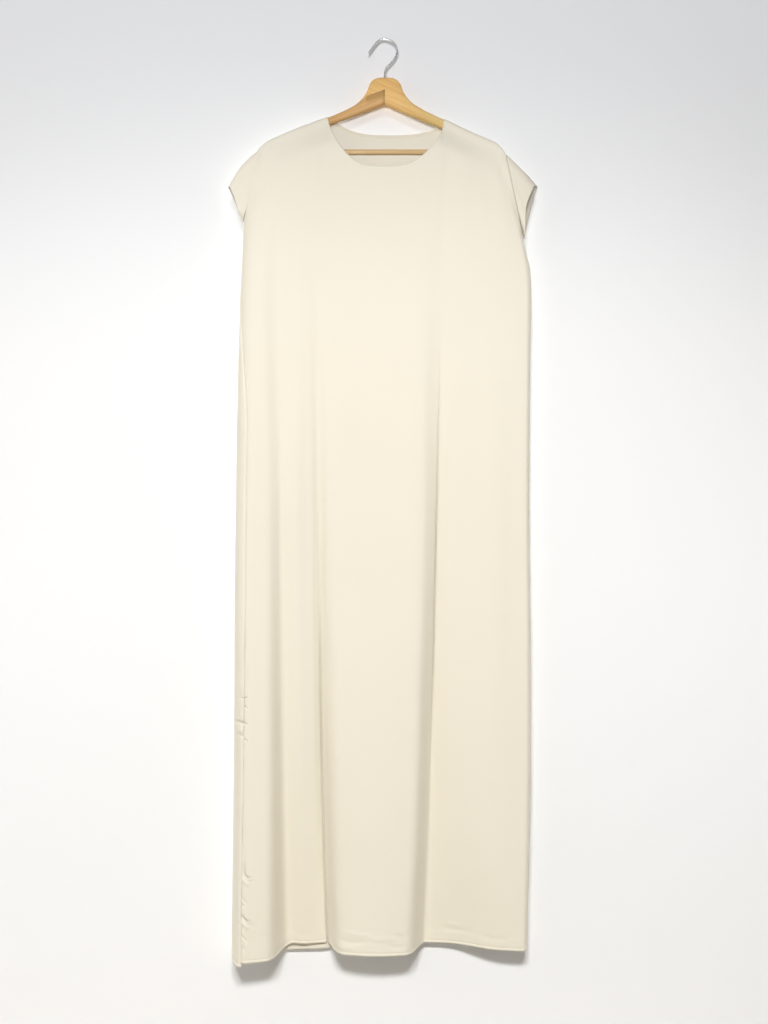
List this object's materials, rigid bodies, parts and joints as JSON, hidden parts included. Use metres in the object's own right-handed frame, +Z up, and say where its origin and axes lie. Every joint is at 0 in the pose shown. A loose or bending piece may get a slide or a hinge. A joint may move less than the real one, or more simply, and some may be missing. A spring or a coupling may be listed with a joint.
{
  "type": "under-abaya dress on a wooden hanger",
  "caption": "Long loose cap-sleeved dress with a round neck, hanging from a contoured wooden hanger with a trouser bar and a steel hook.",
  "frame": {"origin": "underside of the hook's crown, where the nail or rail that holds the hanger touches it", "axes": "+Z up, +X to the viewer's right seen from the front, -Y towards the viewer, +Y towards the wall"},
  "size_m": [0.5388, 0.084, 1.5976],
  "materials": {
    "crepe": "matt ecru crepe with a faint sheen",
    "beech": "satin lacquer",
    "steel": "bright plated wire"
  },
  "bodies": {
    "root": {"front_panel": "crepe", "back_panel": "crepe", "sleeve_left": "crepe", "sleeve_right": "crepe", "neck_facing_front": "crepe", "neck_facing_back": "crepe", "hanger_arm_left": "beech", "hanger_arm_right": "beech", "trouser_bar": "beech", "hanger_hook": "steel"}
  },
  "joints": []
}
